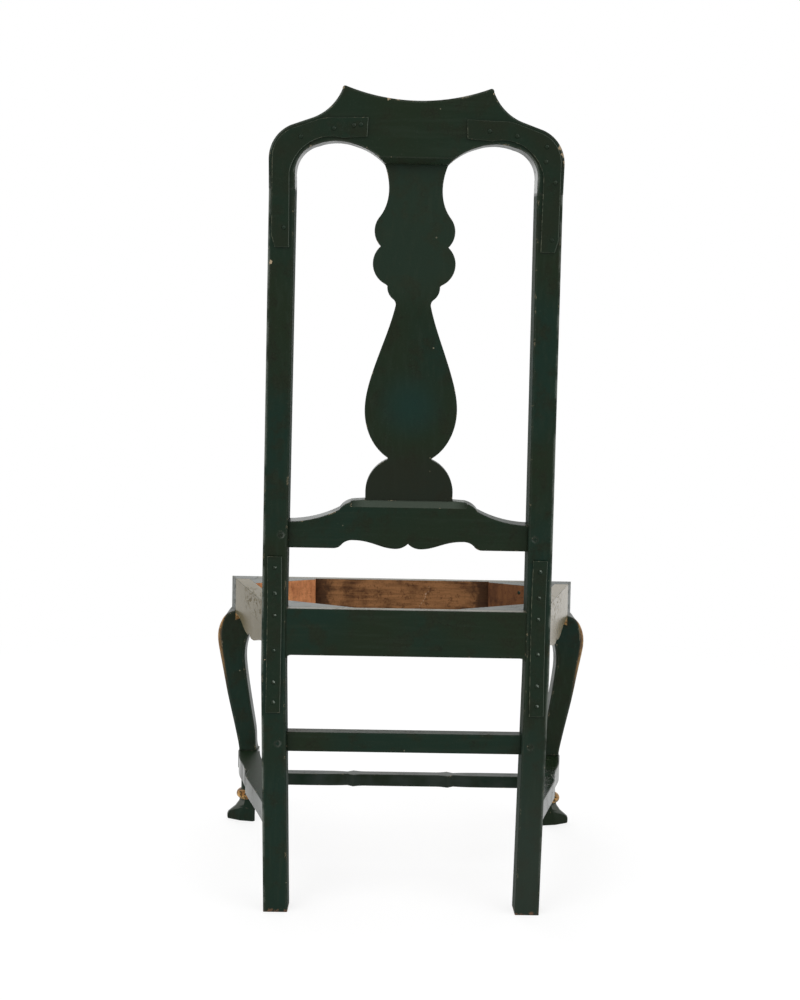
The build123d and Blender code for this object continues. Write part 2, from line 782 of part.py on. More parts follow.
def cross_rail_tenon(clearance):
    """The left tenon of the cross rail."""
    middle = cross_rail_setback + cross_rail_thickness / 2
    x = (stile_inner - 6, stile_inner + rail_tenon - 4 + clearance)
    high = cross_rail_low + cross_rail_end - tenon_shoulder
    y = grown(cross_rail_low + tenon_shoulder, high, clearance)
    z = grown(middle - tenon_thickness / 2, middle + tenon_thickness / 2, clearance)
    return back * span_box(x, y, z)


def crest_tenon_solid(clearance):
    """The tenon on top of the left stile, which stands in the crest's ear."""
    outer = stile_top_half - tenon_shoulder
    x = grown(outer - stile_width + 2 * tenon_shoulder, outer, clearance)
    y = (stile_top - 1, stile_top + crest_tenon + clearance)
    middle = stile_depth_top / 2
    half = crest_tenon_thickness / 2
    return back * span_box(x, y, grown(middle - half, middle + half, clearance))


# ------------------------------------------------------------------ iron straps
def make_corner_strap():
    """The left corner strap: an angle of sheet iron following the shoulder of the crest."""
    edge = stile_top_half - corner_strap_margin
    inner = edge + 1 - corner_strap_width
    base = crest_low
    high = base + 52.5
    low = high - corner_strap_width
    end = corner_strap_end
    foot = corner_strap_low
    shoulder = (stile_top_half - 32.4, base + 39)
    swan = (stile_top_half - 55, base + 46.8)
    outline = [
        Line((edge - 3, foot), (edge + 1, foot + 14)),
        Line((edge + 1, foot + 14), (edge, base + 2.5)),
        ThreePointArc((edge, base + 2.5), (edge - 7.5, base + 25), shoulder),
        Line(shoulder, swan),
        ThreePointArc(swan, (swan[0] - 14, base + 50.6), (swan[0] - 29, high - 1.5)),
        Line((swan[0] - 29, high - 1.5), (end, high)),
        Line((end, high), (end + 1, low)),
        Line((end + 1, low), (end + 32, low - 2.2)),
        ThreePointArc((end + 32, low - 2.2), (inner - 16.2, base + 16), (inner + 0.5, base - 14)),
        Line((inner + 0.5, base - 14), (inner + 1, foot)),
        Line((inner + 1, foot), (edge - 3, foot)),
    ]
    return board(outline, back, -strap_thickness, strap_thickness)


def make_leg_strap():
    """The left leg strap: a flat iron bar bent over the back of the stile."""
    near = rear_line(0)
    far = rear_line(strap_thickness)
    side = [*near.edges(), *far.edges(), Line(near @ 0, far @ 0), Line(near @ 1, far @ 1)]
    outer = stile_seat_half - leg_strap_inset
    plate = board(side, Plane.YZ, outer - leg_strap_width, leg_strap_width)
    return plate & span_box(everywhere, everywhere, (leg_strap_low, leg_strap_high))


# ------------------------------------------------------------------ the pieces together
stile = make_stile()
front_leg = make_front_leg()
crest = make_crest()
both_stiles = stile + other_side(stile)
both_legs = front_leg + other_side(front_leg)
cross_rail = make_cross_rail() - both_stiles
rear_rail = make_rear_rail() - both_stiles
rear_stretcher = make_rear_stretcher() - both_stiles
front_rail = make_front_rail() - both_legs
side_rail = make_side_rail() - front_leg
side_stretcher = make_side_stretcher() - stile
medial = make_medial()
foot = make_foot()
rear_block = make_rear_block() - stile - side_rail
front_block = make_front_block() - front_leg - side_rail
side_knee = board(knee_block_outline(side_length), side_plane, 0, side_rail_thickness - 4)
front_knee = board(
    knee_block_outline(post_inner),
    Plane.XZ,
    seat_depth - front_rail_thickness + 4,
    front_rail_thickness - 4,
)
side_knee = side_knee - front_leg - side_rail
front_knee = front_knee - front_leg - front_rail

# Each tenon is cut as a mortise grown by the clearance, then joined to its own rail.
side_rear_mortise, side_front_mortise = side_rail_tenons(fit)
stile = stile - [
    side_rear_mortise,
    rear_rail_tenon(fit),
    rear_stretcher_tenon(fit),
    cross_rail_tenon(fit),
    side_stretcher_tenon(fit),
]
stile += crest_tenon_solid(0)
dowel_hole = rod(
    (ankle_x, ankle_y, stretcher_low - 1),
    (0, 0, 1),
    dowel_radius + small_fit,
    1 + stretcher_thickness + dowel_socket + fit,
)
front_leg = front_leg - [side_front_mortise, front_rail_tenon(fit), dowel_hole]
side_stretcher = side_stretcher + side_stretcher_tenon(0)
side_stretcher = side_stretcher - [dowel_hole, medial_tenon(fit)]
side_rail = side_rail + side_rail_tenons(0)
for swap in (lambda solid: solid, other_side):
    crest -= swap(crest_tenon_solid(fit))
    cross_rail += swap(cross_rail_tenon(0))
    rear_rail += swap(rear_rail_tenon(0))
    rear_stretcher += swap(rear_stretcher_tenon(0))
    medial += swap(medial_tenon(0))
    front_rail += swap(front_rail_tenon(0))
crest -= splat_groove_cut(splat_top, crest_low - 1, crest_low + splat_groove + fit)
cross_rail -= splat_groove_cut(splat_foot, shoe_top - splat_groove - fit, shoe_top + 1)

pieces = {
    "crest_rail": crest,
    "splat": make_splat(),
    "cross_rail": cross_rail,
    "rear_seat_rail": rear_rail,
    "front_seat_rail": front_rail,
    "rear_stretcher": rear_stretcher,
    "medial_stretcher": medial,
}
paired = {
    "stile": stile,
    "seat_rail": side_rail,
    "front_leg": front_leg,
    "front_foot": foot,
    "side_knee_block": side_knee,
    "front_knee_block": front_knee,
    "rear_corner_block": rear_block,
    "front_corner_block": front_block,
    "side_stretcher": side_stretcher,
    "corner_strap": make_corner_strap(),
    "leg_strap": make_leg_strap(),
}
for name, solid in paired.items():
    pieces["left_" + name] = solid
    pieces["right_" + name] = other_side(solid)

# ------------------------------------------------------------------ pegs and nails
groups = {"joint_pegs": [], "strap_nails": [], "corner_block_nails": []}
holes = {name: [] for name in pieces}


def flipped(vector, side):
    """A point or a direction of the left side, or its mirror image on the right."""
    return (side * vector[0], vector[1], vector[2])


def add_peg(start, direction, length, names):
    """A round oak peg, and its hole through the pieces it pins."""
    groups["joint_pegs"].append(rod(start, direction, peg_radius, length))
    hole = rod(start, direction, peg_radius + small_fit, length + fit)
    mouth = rod(start, [-part for part in direction], peg_radius + small_fit, 1)
    for name in names:
        holes[name] += [hole, mouth]


def add_nail(group, start, direction, length, names):
    """A nail with a domed head, and the hole of its shank through the pieces it holds."""
    where = Plane(origin=start, z_dir=direction)
    ball = (nail_head_radius**2 + nail_head_rise**2) / (2 * nail_head_rise)
    dome = Pos(0, 0, ball - nail_head_rise - nail_seat) * Sphere(ball)
    dome &= Pos(0, 0, -ball - nail_seat) * Box(4 * ball, 4 * ball, 2 * ball)
    shank = rod((0, 0, -nail_seat), (0, 0, 1), nail_radius, length + nail_seat)
    groups[group].append(where * (dome + shank))
    hole = rod((0, 0, -1), (0, 0, 1), nail_radius + small_fit, length + 1 + fit)
    for name in names:
        holes[name].append(where * hole)


for hand, side in (("left_", 1), ("right_", -1)):
    inward = (-side, 0, 0)
    to_front = (0, -1, 0)
    stile_name = hand + "stile"
    # Rear rail: two pegs a side, driven from behind and covered by the leg strap.
    for height in (seat_height - 46, seat_height - 16):
        start = (side * (stile_inner + 11), -peg_sunk, height)
        add_peg(start, to_front, 21, [stile_name, "rear_seat_rail"])
    # Side rail: two pegs at the stile and two at the front leg, driven from outside.
    for height in (seat_height - 38, seat_height - 14):
        start = (side * (stile_seat_half + peg_proud), 10 - stile_depth_seat, height)
        add_peg(start, inward, 24, [stile_name, hand + "seat_rail"])
        start = side_plane.from_local_coords((side_length + 11, height, -peg_proud))
        into = (side_y, -side_x, 0)
        names = [hand + "front_leg", hand + "seat_rail"]
        add_peg(flipped((start.X, start.Y, start.Z), side), flipped(into, side), 22, names)
    # Front rail: two pegs a side, driven from the front.
    for height in (seat_height - 38, seat_height - 14):
        start = (side * (post_inner + 10), -seat_depth - peg_proud, height)
        add_peg(start, (0, 1, 0), 20, [hand + "front_leg", "front_seat_rail"])
    # Cross rail and crest: one peg a side, the crest's under the corner strap.
    into = (back.z_dir.X, back.z_dir.Y, back.z_dir.Z)
    start = back.from_local_coords((stile_inner + 7, cross_rail_low + 19, -peg_proud))
    add_peg((side * start.X, start.Y, start.Z), into, 27, [stile_name, "cross_rail"])
    start = back.from_local_coords((stile_top_half - stile_width / 2, stile_top + 16, peg_sunk))
    add_peg((side * start.X, start.Y, start.Z), into, 27, [stile_name, "crest_rail"])
    # Stretchers: one peg at each joint.
    height = rear_stretcher_low + rear_stretcher_height / 2
    y, into = stile_rear(height, peg_proud)
    start = (side * (stile_outer(height) - stile_width + 11), y, height)
    add_peg(start, into, 29, [stile_name, "rear_stretcher"])
    start = (side * (stile_outer(stretcher_mid) + peg_proud), stile_front_mid + 8, stretcher_mid)
    add_peg(start, inward, 22, [stile_name, hand + "side_stretcher"])
    start = (side * (medial_end + 8), -medial_depth, stretcher_top + peg_proud)
    add_peg(start, (0, 0, -1), 17, [hand + "side_stretcher", "medial_stretcher"])
    # Corner blocks: two nails each, driven square to the slanting face.
    for block, faces in (("rear", rear_block_faces), ("front", front_block_faces)):
        near, far = faces
        run = hypot(far[0] - near[0], far[1] - near[1])
        turn = 1 if block == "rear" else -1
        into = (turn * (near[1] - far[1]) / run, turn * (far[0] - near[0]) / run, 0)
        for height in (seat_height - 12, seat_height - 34):
            middle = ((near[0] + far[0]) / 2, (near[1] + far[1]) / 2, height)
            names = [hand + block + "_corner_block", hand + "seat_rail"]
            names.append("rear_seat_rail" if block == "rear" else "front_seat_rail")
            names.append(stile_name if block == "rear" else hand + "front_leg")
            add_nail(
                "corner_block_nails",
                flipped(middle, side),
                flipped(into, side),
                block_nail_length,
                names,
            )
    # Leg strap: six nails, unevenly spaced.
    for rise in (13.5, 40, 82.5, 129, 158, 193):
        height = leg_strap_low + rise
        y, into = stile_rear(height, strap_thickness)
        start = (side * (stile_seat_half - leg_strap_inset - leg_strap_width / 2), y, height)
        names = [hand + "leg_strap", stile_name, "rear_seat_rail", hand + "seat_rail"]
        add_nail("strap_nails", start, into, nail_length, names)

# Corner straps: the nails stand differently left and right, as they were driven.
left_arm = [(17.4, 42.6), (8.9, 43.8), (41.6, 38.8)]
left_bend = [(39.4, 28.1), (18.7, -79.5)]
right_arm = [(27.5, 39.4), (61, 34.5)]
right_bend = [(22.9, 22.8), (23.2, 5.2), (10.8, -19.3), (11.5, -87.6)]
for hand, side, arm, bend in (("left_", 1, left_arm, left_bend), ("right_", -1, right_arm, right_bend)):
    places = [(corner_strap_end + along, rise) for along, rise in arm]
    places += [(stile_top_half - inset, rise) for inset, rise in bend]
    for x, rise in places:
        start = back.from_local_coords((side * x, crest_low + rise, -strap_thickness))
        into = (back.z_dir.X, back.z_dir.Y, back.z_dir.Z)
        names = [hand + "corner_strap", hand + "stile", "crest_rail"]
        add_nail("strap_nails", (start.X, start.Y, start.Z), into, nail_length, names)

for name, cuts in holes.items():
    reaching = [cut for cut in cuts if boxes_meet(cut, pieces[name])]
    if reaching:
        pieces[name] = pieces[name] - reaching

for name, solids in groups.items():
    pieces[name] = Compound(children=solids)

# The frame's origin: under the middle of the whole chair, on the floor.
boxes = [solid.bounding_box() for solid in pieces.values()]
rear_end = max(box.max.Y for box in boxes)
front_end = min(box.min.Y for box in boxes)
os.makedirs("parts", exist_ok=True)
for name, solid in pieces.items():
    export_step(Pos(0, -(rear_end + front_end) / 2, 0) * solid, f"parts/{name}.step")
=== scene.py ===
import math

import bpy
from mathutils import Matrix, Vector

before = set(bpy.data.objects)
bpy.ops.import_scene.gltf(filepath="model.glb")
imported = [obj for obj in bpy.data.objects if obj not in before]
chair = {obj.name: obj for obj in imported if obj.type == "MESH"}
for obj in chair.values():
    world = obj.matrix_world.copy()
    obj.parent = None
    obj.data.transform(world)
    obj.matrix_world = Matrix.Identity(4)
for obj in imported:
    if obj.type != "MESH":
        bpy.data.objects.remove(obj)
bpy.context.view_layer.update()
bpy.ops.object.select_all(action="DESELECT")


# ------------------------------------------------------------------ room and camera
# A pale floor that runs into an even white room, lit by three broad soft lamps. The camera
# stands behind the chair, about level with its cross rail and a little to one side.
bpy.context.scene.view_settings.view_transform = "Standard"
white, floor_grey = (1, 1, 1, 1), (0.8, 0.8, 0.8, 1)
room_light = 0.72                      # how much the room lights the chair; seen itself it is 1
floor_radius, floor_sides = 7, 96
floor_glow, floor_lift = 1.22, 0.62    # how bright the floor looks round the chair
fade_from, fade_to = 0.7, 2.2          # how far out the floor turns into the room


def add_node(tree, kind, inputs=None, **settings):
    """A shader node with its settings, its sockets linked to others or given values."""
    made = tree.nodes.new("ShaderNode" + kind)
    for key, value in settings.items():
        setattr(made, key, value)
    for key, value in (inputs or {}).items():
        if isinstance(value, bpy.types.NodeSocket):
            tree.links.new(value, made.inputs[key])
        else:
            made.inputs[key].default_value = value
    return made


def maths(tree, operation, *values):
    """One sum on numbers, as a node; returns its result."""
    return add_node(tree, "Math", dict(enumerate(values)), operation=operation).outputs[0]


def vector_maths(tree, operation, *values):
    """One sum on vectors, as a node; returns its result, a vector or a number."""
    made = add_node(tree, "VectorMath", dict(enumerate(values)), operation=operation)
    gives_number = operation in ("DOT_PRODUCT", "DISTANCE", "LENGTH")
    return made.outputs["Value" if gives_number else "Vector"]


def step(tree, value, low, high):
    """0 below low, 1 above high, smooth between."""
    inputs = {"Value": value, "From Min": low, "From Max": high}
    return add_node(tree, "MapRange", inputs, interpolation_type="SMOOTHSTEP").outputs[0]


def seen_directly(tree):
    """1 for what the camera, a gloss or a glass sees, 0 for plain light."""
    path = add_node(tree, "LightPath").outputs
    direct = maths(tree, "MAXIMUM", path["Is Camera Ray"], path["Is Glossy Ray"])
    return maths(tree, "MAXIMUM", direct, path["Is Transmission Ray"])


def room_white(tree):
    """Strength of the room's white, as it is seen and as it lights."""
    return maths(tree, "MULTIPLY_ADD", seen_directly(tree), 1 - room_light, room_light)


world = bpy.data.worlds.new("White room")
bpy.context.scene.world = world
world.use_nodes = True
tree = world.node_tree
tree.nodes.clear()
surround = add_node(tree, "Background", {"Color": white, "Strength": room_white(tree)})
add_node(tree, "OutputWorld", {"Surface": surround.outputs[0]})

bpy.ops.mesh.primitive_circle_add(
    vertices=floor_sides, radius=floor_radius, fill_type="NGON", location=(0, 0, 0)
)
floor = bpy.context.object
floor.name = "floor"
floor_paint = bpy.data.materials.new("Pale floor")
floor_paint.use_nodes = True
tree = floor_paint.node_tree
tree.nodes.clear()
matt = add_node(tree, "BsdfDiffuse", {"Color": floor_grey})
glow = maths(tree, "MULTIPLY", seen_directly(tree), floor_glow)
glowing = add_node(tree, "Emission", {"Color": white, "Strength": glow})
lift = maths(tree, "MULTIPLY", seen_directly(tree), floor_lift)
near = add_node(tree, "MixShader", {0: lift, 1: matt.outputs[0], 2: glowing.outputs[0]})
far = add_node(tree, "Emission", {"Color": white, "Strength": room_white(tree)})
reach = vector_maths(tree, "LENGTH", add_node(tree, "TexCoord").outputs["Object"])
fade = step(tree, reach, fade_from, fade_to)
both = add_node(tree, "MixShader", {0: fade, 1: near.outputs[0], 2: far.outputs[0]})
add_node(tree, "OutputMaterial", {"Surface": both.outputs[0]})
floor.data.materials.append(floor_paint)

chair_middle = Vector((0, 0, 0.5))
for lamp_name, place, size, power in (
    ("left lamp", (2.2, 2.6, 2.6), 2.4, 34),
    ("right lamp", (-2.6, 1.6, 2.0), 2.2, 18),
    ("front lamp", (0.6, -3.0, 2.4), 2.4, 24),
):
    bpy.ops.object.light_add(type="AREA", location=place)
    lamp = bpy.context.object
    lamp.name = lamp_name
    lamp.data.size = size
    lamp.data.energy = power
    aim = chair_middle - Vector(place)
    lamp.rotation_euler = aim.to_track_quat("-Z", "Y").to_euler()

camera_place = (0.0325, 1.6410, 0.6027)
yaw, pitch, roll = 0.0141, 0.0375, 0.0189
look = Vector((
    -math.cos(pitch) * math.sin(yaw), -math.cos(pitch) * math.cos(yaw), -math.sin(pitch),
))
across = Vector((-math.cos(yaw), math.sin(yaw), 0))
upward = Vector((
    -math.sin(pitch) * math.sin(yaw), -math.sin(pitch) * math.cos(yaw), math.cos(pitch),
))
right = math.cos(roll) * across + math.sin(roll) * upward
top = -math.sin(roll) * across + math.cos(roll) * upward
bpy.ops.object.camera_add()
camera = bpy.context.object
turn = Matrix((right, top, -look)).transposed().to_4x4()
camera.matrix_world = Matrix.Translation(camera_place) @ turn
camera.data.sensor_width = 36
camera.data.lens = 40.59
bpy.context.scene.camera = camera
bpy.ops.object.select_all(action="DESELECT")


# ------------------------------------------------------------------ stiles
# The two back posts are each sawn in one piece from a beech plank, raked above the seat and
# kicked back at the foot. They are primed, painted dark green and varnished, with a thin gilt
# line inside the front edges; the varnish has yellowed and is rubbed off the edges. Painted
# highlights run along the edges, and the feet are painted lighter for light from the floor.
to_front, to_back, to_top = (0, -1, 0), (0, 1, 0), (0, 0, 1)


def mix_colour(tree, factor, first, second):
    """One colour laid over another by a factor."""
    inputs = {0: factor, 6: first, 7: second}
    return add_node(tree, "Mix", inputs, data_type="RGBA").outputs[2]


def mix_number(tree, factor, first, second):
    """One number laid over another by a factor."""
    return add_node(tree, "Mix", {0: factor, 2: first, 3: second}, data_type="FLOAT").outputs[0]


def noise(tree, place, scale, detail, roughness=0.5):
    """Cloudy variation from 0 to 1, scale to the metre."""
    inputs = {"Vector": place, "Scale": scale, "Detail": detail, "Roughness": roughness}
    return add_node(tree, "TexNoise", inputs).outputs["Fac"]


def product(tree, *masks):
    """Masks or shares multiplied: what is left is where all of them hold."""
    left = masks[0]
    for mask in masks[1:]:
        left = maths(tree, "MULTIPLY", left, mask)
    return left


def add_shares(tree, start, *shares):
    """A start value with shares of other values added, each given with its size."""
    total = start
    for value, size in shares:
        total = maths(tree, "MULTIPLY_ADD", value, size, total)
    return total


def split(tree, vector):
    """The X, Y and Z of a vector."""
    return add_node(tree, "SeparateXYZ", {0: vector}).outputs


def place_on(tree, shift):
    """Places on the piece, shifted so that no two pieces have the same marks."""
    return vector_maths(tree, "ADD", add_node(tree, "TexCoord").outputs["Object"], shift)


def face_normal(tree):
    """The way a face looks, before its edges are softened."""
    return add_node(tree, "NewGeometry").outputs["True Normal"]


def soft_normal(tree, radius, samples):
    """The way the surface looks with its edges rounded over."""
    return add_node(tree, "Bevel", {"Radius": radius}, samples=samples).outputs[0]


def start_group(name, inputs, outputs):
    """A shared effect as a node group: returns its tree, its inputs and its output node."""
    group = bpy.data.node_groups.new(name, "ShaderNodeTree")
    for label, kind, value in inputs:
        socket = group.interface.new_socket(label, in_out="INPUT", socket_type="NodeSocket" + kind)
        socket.default_value = value
    for label, kind in outputs:
        group.interface.new_socket(label, in_out="OUTPUT", socket_type="NodeSocket" + kind)
    given = group.nodes.new("NodeGroupInput")
    result = group.nodes.new("NodeGroupOutput")
    return group, given.outputs, result.inputs


def end_group(tree, result, **values):
    """Joins what a shared effect has worked out to its outputs."""
    for label, value in values.items():
        tree.links.new(value, result[label])


def use_group(tree, name, **values):
    """Places a shared effect in a material, with its own values."""
    made = tree.nodes.new("ShaderNodeGroup")
    made.node_tree = bpy.data.node_groups[name]
    for label, value in values.items():
        if isinstance(value, bpy.types.NodeSocket):
            tree.links.new(value, made.inputs[label])
        else:
            made.inputs[label].default_value = value
    return made.outputs


# Dark green paint under old varnish: bluish where it is thick, olive where it has browned,
# with a fine net of cracks in patches and a few flecks knocked out of it.
olive_green, blue_green = (0.0098, 0.0188, 0.0078, 1), (0.0034, 0.0225, 0.0165, 1)
browned_green, thin_green = (0.0120, 0.0165, 0.0072, 1), (0.0175, 0.0290, 0.0175, 1)
dust_grey, fleck_cream = (0.055, 0.065, 0.052, 1), (0.20, 0.19, 0.13, 1)
crack_black = (0.0060, 0.0060, 0.0040, 1)
tree, given, result = start_group(
    "Old green paint",
    [
        ("Run", "Vector", (60, 60, 5)), ("Shift", "Vector", (0, 0, 0)),
        ("Blue", "Float", 0.5), ("Dull", "Float", 0.22), ("Cracks", "Float", 0.4),
    ],
    [("Color", "Color"), ("Roughness", "Float"), ("Height", "Float")],
)
place = place_on(tree, given["Shift"])
run = vector_maths(tree, "MULTIPLY", place, given["Run"])
broad = noise(tree, place, scale=5.5, detail=2)
cloud = noise(tree, place, scale=38, detail=5, roughness=0.6)
brush = noise(tree, run, scale=3.2, detail=4, roughness=0.55)
grit = noise(tree, place, scale=650, detail=3, roughness=0.6)
green = olive_green
for value, low, high, most, tone in (
    (broad, 0.36, 0.60, given["Blue"], blue_green),
    (cloud, 0.45, 0.68, 0.75, browned_green),
    (brush, 0.46, 0.74, 0.42, thin_green),
    (grit, 0.60, 0.76, 0.35, dust_grey),
):
    green = mix_colour(tree, product(tree, step(tree, value, low, high), most), green, tone)
spots = add_node(tree, "TexVoronoi", {"Vector": place, "Scale": 75, "Randomness": 1}).outputs
chance = add_node(tree, "SeparateColor", {0: spots["Color"]}).outputs[0]
fleck = product(tree, step(tree, spots["Distance"], 0.10, 0.05), step(tree, chance, 0.955, 0.96))
green = mix_colour(tree, fleck, green, fleck_cream)
inputs = {"Vector": place, "Scale": 170, "Randomness": 1}
cell = add_node(tree, "TexVoronoi", inputs, feature="DISTANCE_TO_EDGE").outputs["Distance"]
net, patches = step(tree, cell, 0.055, 0.015), step(tree, cloud, 0.50, 0.58)
crack = product(tree, net, patches, given["Cracks"])
green = mix_colour(tree, crack, green, crack_black)
rough = add_shares(tree, given["Dull"], (cloud, 0.14), (crack, 0.5), (grit, 0.08))
hollow = product(tree, cloud, 0.35)
relief = add_shares(tree, hollow, (brush, 0.5), (crack, -0.6), (grit, 0.08))
end_group(tree, result, Color=green, Roughness=rough, Height=relief)

# Edges: softened by handling, and chipped through to the pale ground in places.
tree, given, result = start_group(
    "Worn edge",
    [("Radius", "Float", 0.0012), ("Wear", "Float", 0.5), ("Shift", "Vector", (0, 0, 0))],
    [("Normal", "Vector"), ("Rub", "Float"), ("Chip", "Float")],
)
soft = soft_normal(tree, given["Radius"], samples=6)
bend = maths(tree, "SUBTRACT", 1, vector_maths(tree, "DOT_PRODUCT", soft, face_normal(tree)))
place = place_on(tree, given["Shift"])
patch = noise(tree, place, scale=60, detail=4, roughness=0.65)
fleck = noise(tree, place, scale=420, detail=3, roughness=0.6)
worn = add_shares(tree, patch, (fleck, 0.4), (given["Wear"], 0.30))
rub = product(tree, step(tree, bend, 0.03, 0.17), step(tree, worn, 0.55, 0.90))
chip = product(tree, step(tree, bend, 0.06, 0.13), step(tree, worn, 0.965, 0.990))
end_group(tree, result, Normal=soft, Rub=rub, Chip=chip)

# painted highlights: the rubbed green is lighter than wear alone would make it, and the second
# colour is a painted rim highlight
rubbed_and_highlight_green, rim_highlight_grey = (0.048, 0.058, 0.043, 1), (0.170, 0.190, 0.165, 1)
chipped_ground, flaked_ground = (0.42, 0.34, 0.22, 1), (0.40, 0.31, 0.20, 1)
bright_gold, browned_gold = (0.56, 0.33, 0.12, 1), (0.22, 0.10, 0.03, 1)


class Finish:
    """A finish built up in coats; each coat covers the last where its mask says.

    run is how the brush marks are drawn out along the piece, shift where its marks come from,
    blue how far the green is blue, wear how worn its edges are, radius how far they are
    rounded over in metres, and dull how rough the varnish is at its best.
    """

    def __init__(self, name, run, shift=(0, 0, 0), blue=0.6, wear=0.5, radius=0.003, dull=0.22):
        self.material = bpy.data.materials.new(name)
        self.material.use_nodes = True
        self.tree = self.material.node_tree
        self.shader = self.tree.nodes["Principled BSDF"]
        paint = use_group(self.tree, "Old green paint", Run=run, Shift=shift, Blue=blue, Dull=dull)
        self.cracks = paint["Color"].node.inputs["Cracks"]
        edge = use_group(self.tree, "Worn edge", Radius=radius, Wear=wear, Shift=shift)
        self.colour, self.roughness = paint["Color"], paint["Roughness"]
        self.height, self.metal = paint["Height"], None
        self.normal = edge["Normal"]
        self.rub, self.chip = edge["Rub"], edge["Chip"]
        self.place = add_node(self.tree, "TexCoord").outputs["Object"]

    def cloudy(self, scale, detail=4, roughness=0.6):
        """Cloudy variation over the piece."""
        return noise(self.tree, self.place, scale, detail, roughness)

    def facing(self, direction, least):
        """1 on the faces that look a given way."""
        along = vector_maths(self.tree, "DOT_PRODUCT", face_normal(self.tree), direction)
        return step(self.tree, along, least - 0.02, least + 0.02)

    def leaning(self, direction, low, high):
        """1 where a softened edge leans a given way."""
        along = vector_maths(self.tree, "DOT_PRODUCT", self.normal, direction)
        return step(self.tree, along, low, high)

    def tint(self, mask, colour):
        """Changes the colour alone."""
        self.colour = mix_colour(self.tree, mask, self.colour, colour)

    def polish(self, mask, roughness):
        """Changes the gloss alone."""
        self.roughness = mix_number(self.tree, mask, self.roughness, roughness)

    def coat(self, mask, colour, roughness, metal=None):
        """Lays a coat over what is there; without metal, gilding below it still glints."""
        self.tint(mask, colour)
        self.polish(mask, roughness)
        if metal is not None:
            self.metal = mix_number(self.tree, mask, self.metal or 0.0, metal)

    def cover(self, mask, colour, roughness):
        """Lays a coat that also hides the glint of gilding below it."""
        self.coat(mask, colour, roughness, None if self.metal is None else 0.0)

    def gild(self, mask):
        """Leaf gilding: warm gold, browned in the hollows and rubbed through here and there."""
        browned = step(self.tree, self.cloudy(90), 0.40, 0.66)
        gold = mix_colour(self.tree, browned, bright_gold, browned_gold)
        kept = step(self.tree, self.cloudy(210), 0.66, 0.60)
        self.coat(product(self.tree, mask, kept), gold, roughness=0.42, metal=0.55)

    def gilt_line(self, above=0.0):
        """A thin gilt line a little inside the edges of the front faces, above a height."""
        soft = soft_normal(self.tree, 0.009, samples=12)
        even = vector_maths(self.tree, "DOT_PRODUCT", soft, face_normal(self.tree))
        height = split(self.tree, self.place)["Z"]
        self.gild(product(
            self.tree, step(self.tree, even, 0.89, 0.92), step(self.tree, even, 0.985, 0.96),
            self.facing(to_front, 0.8), step(self.tree, height, above, above + 0.004),
        ))

    def wear_edges(self):
        """Rubs the edges to a greyer green that is both wear and a painted highlight; chips them
        to the pale ground.
        """
        self.cover(self.rub, rubbed_and_highlight_green, roughness=0.42)
        self.cover(self.chip, chipped_ground, roughness=0.75)

    def knock(self, *spots):
        """Flakes the paint off down to the pale ground: each spot has a place and a size."""
        ragged = self.cloudy(260, roughness=0.7)
        for spot, size in spots:
            away = vector_maths(self.tree, "DISTANCE", self.place, spot)
            edge = add_shares(self.tree, away, (ragged, 4 * size))
            flaked = step(self.tree, edge, 2.95 * size, 2.75 * size)
            self.cover(flaked, flaked_ground, roughness=0.75)

    def paint_rim_highlight(self, edge, low, high):
        """Paints a highlight in patches along an edge of the rear faces, where the softened edge
        leans the given way.
        """
        patchy = step(self.tree, self.cloudy(34), low, high)
        rim = product(self.tree, edge, self.facing(to_back, 0.6), patchy)
        self.cover(rim, rim_highlight_grey, roughness=0.35)

    def done(self, gloss=1.2, depth=0.0003, strength=0.35):
        """Joins the coats to the shader; gloss is the varnish's index of refraction."""
        shader = self.shader.inputs
        self.tree.links.new(self.colour, shader["Base Color"])
        self.tree.links.new(self.roughness, shader["Roughness"])
        if self.metal is not None:
            self.tree.links.new(self.metal, shader["Metallic"])
        shader["IOR"].default_value = gloss
        relief = {"Height": self.height, "Distance": depth, "Strength": strength}
        bump = add_node(self.tree, "Bump", {"Normal": self.normal, **relief})
        self.tree.links.new(bump.outputs[0], shader["Normal"])
        return self.material


def dress(name, material):
    """Gives a piece of the frame its finish."""
    piece = chair[name]
    piece.data.materials.clear()
    piece.data.materials.append(material)
    for face in piece.data.polygons:
        face.material_index = 0


upright = (55, 55, 4)
foot_light_grey, sole_brown = (0.034, 0.043, 0.034, 1), (0.15, 0.085, 0.050, 1)
# Where the paint is knocked off: the place and the size of each spot.
knocks = {
    "left_": (
        ((0.1790, 0.2276, 0.8426), 0.0022), ((0.1796, 0.2256, 0.8306), 0.0014),
        ((0.1870, 0.1514, 0.3314), 0.0012), ((0.1702, 0.1700, 0.0902), 0.0018),
        ((0.1580, 0.1850, 0.0040), 0.0050), ((0.1590, 0.1840, 0.0290), 0.0022),
        ((0.1905, 0.1780, 0.0015), 0.0038), ((0.1878, 0.1700, 0.0780), 0.0014),
    ),
    "right_": (
        ((-0.1790, 0.2505, 0.9690), 0.0020), ((-0.1480, 0.2498, 0.9684), 0.0018),
        ((-0.1651, 0.1690, 0.1057), 0.0018), ((-0.1675, 0.1690, 0.1000), 0.0012),
        ((-0.1600, 0.1850, 0.0040), 0.0034), ((-0.1880, 0.1850, 0.0020), 0.0040),
        ((-0.1592, 0.1600, 0.3651), 0.0012), ((-0.1588, 0.1620, 0.2370), 0.0014),
    ),
}
